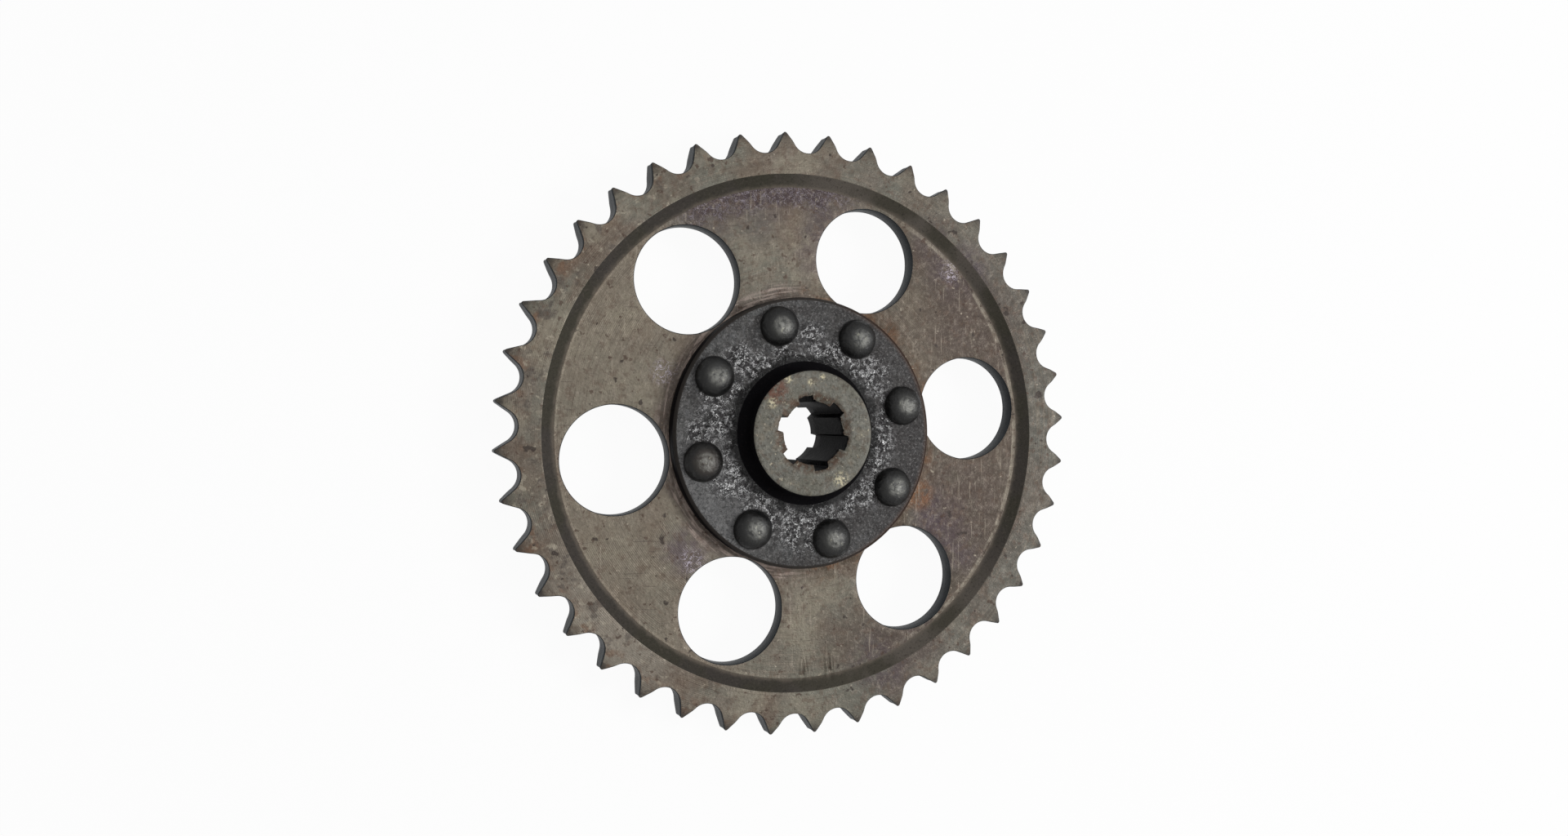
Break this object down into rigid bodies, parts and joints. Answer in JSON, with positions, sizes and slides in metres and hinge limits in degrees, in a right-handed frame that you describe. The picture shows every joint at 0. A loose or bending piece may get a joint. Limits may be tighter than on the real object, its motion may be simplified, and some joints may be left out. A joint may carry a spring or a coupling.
{
  "type": "rear sprocket",
  "caption": "Riveted rear chain sprocket: a toothed steel plate with round lightening windows on a flanged, splined hub.",
  "frame": {"origin": "on the axis of the splined bore, in the plane of the rear boss's end face, which the part rests on when it is laid flat", "axes": "+Z along the bore, from the rear boss to the front boss; +X and +Y across the plate, with the first tooth 3.5 degrees from +X towards +Y"},
  "size_m": [0.207, 0.207, 0.031],
  "materials": {
    "plate_steel": "worn machined steel, dull, with oil and heat stains",
    "hub_steel": "forged and turned steel under a film of old black oil",
    "rivet_steel": "dark oiled steel, scuffed on the domes"
  },
  "bodies": {
    "root": {"sprocket_plate": "plate_steel", "splined_hub": "hub_steel", "rivet_1": "rivet_steel", "rivet_2": "rivet_steel", "rivet_3": "rivet_steel", "rivet_4": "rivet_steel", "rivet_5": "rivet_steel", "rivet_6": "rivet_steel", "rivet_7": "rivet_steel", "rivet_8": "rivet_steel"}
  },
  "joints": []
}
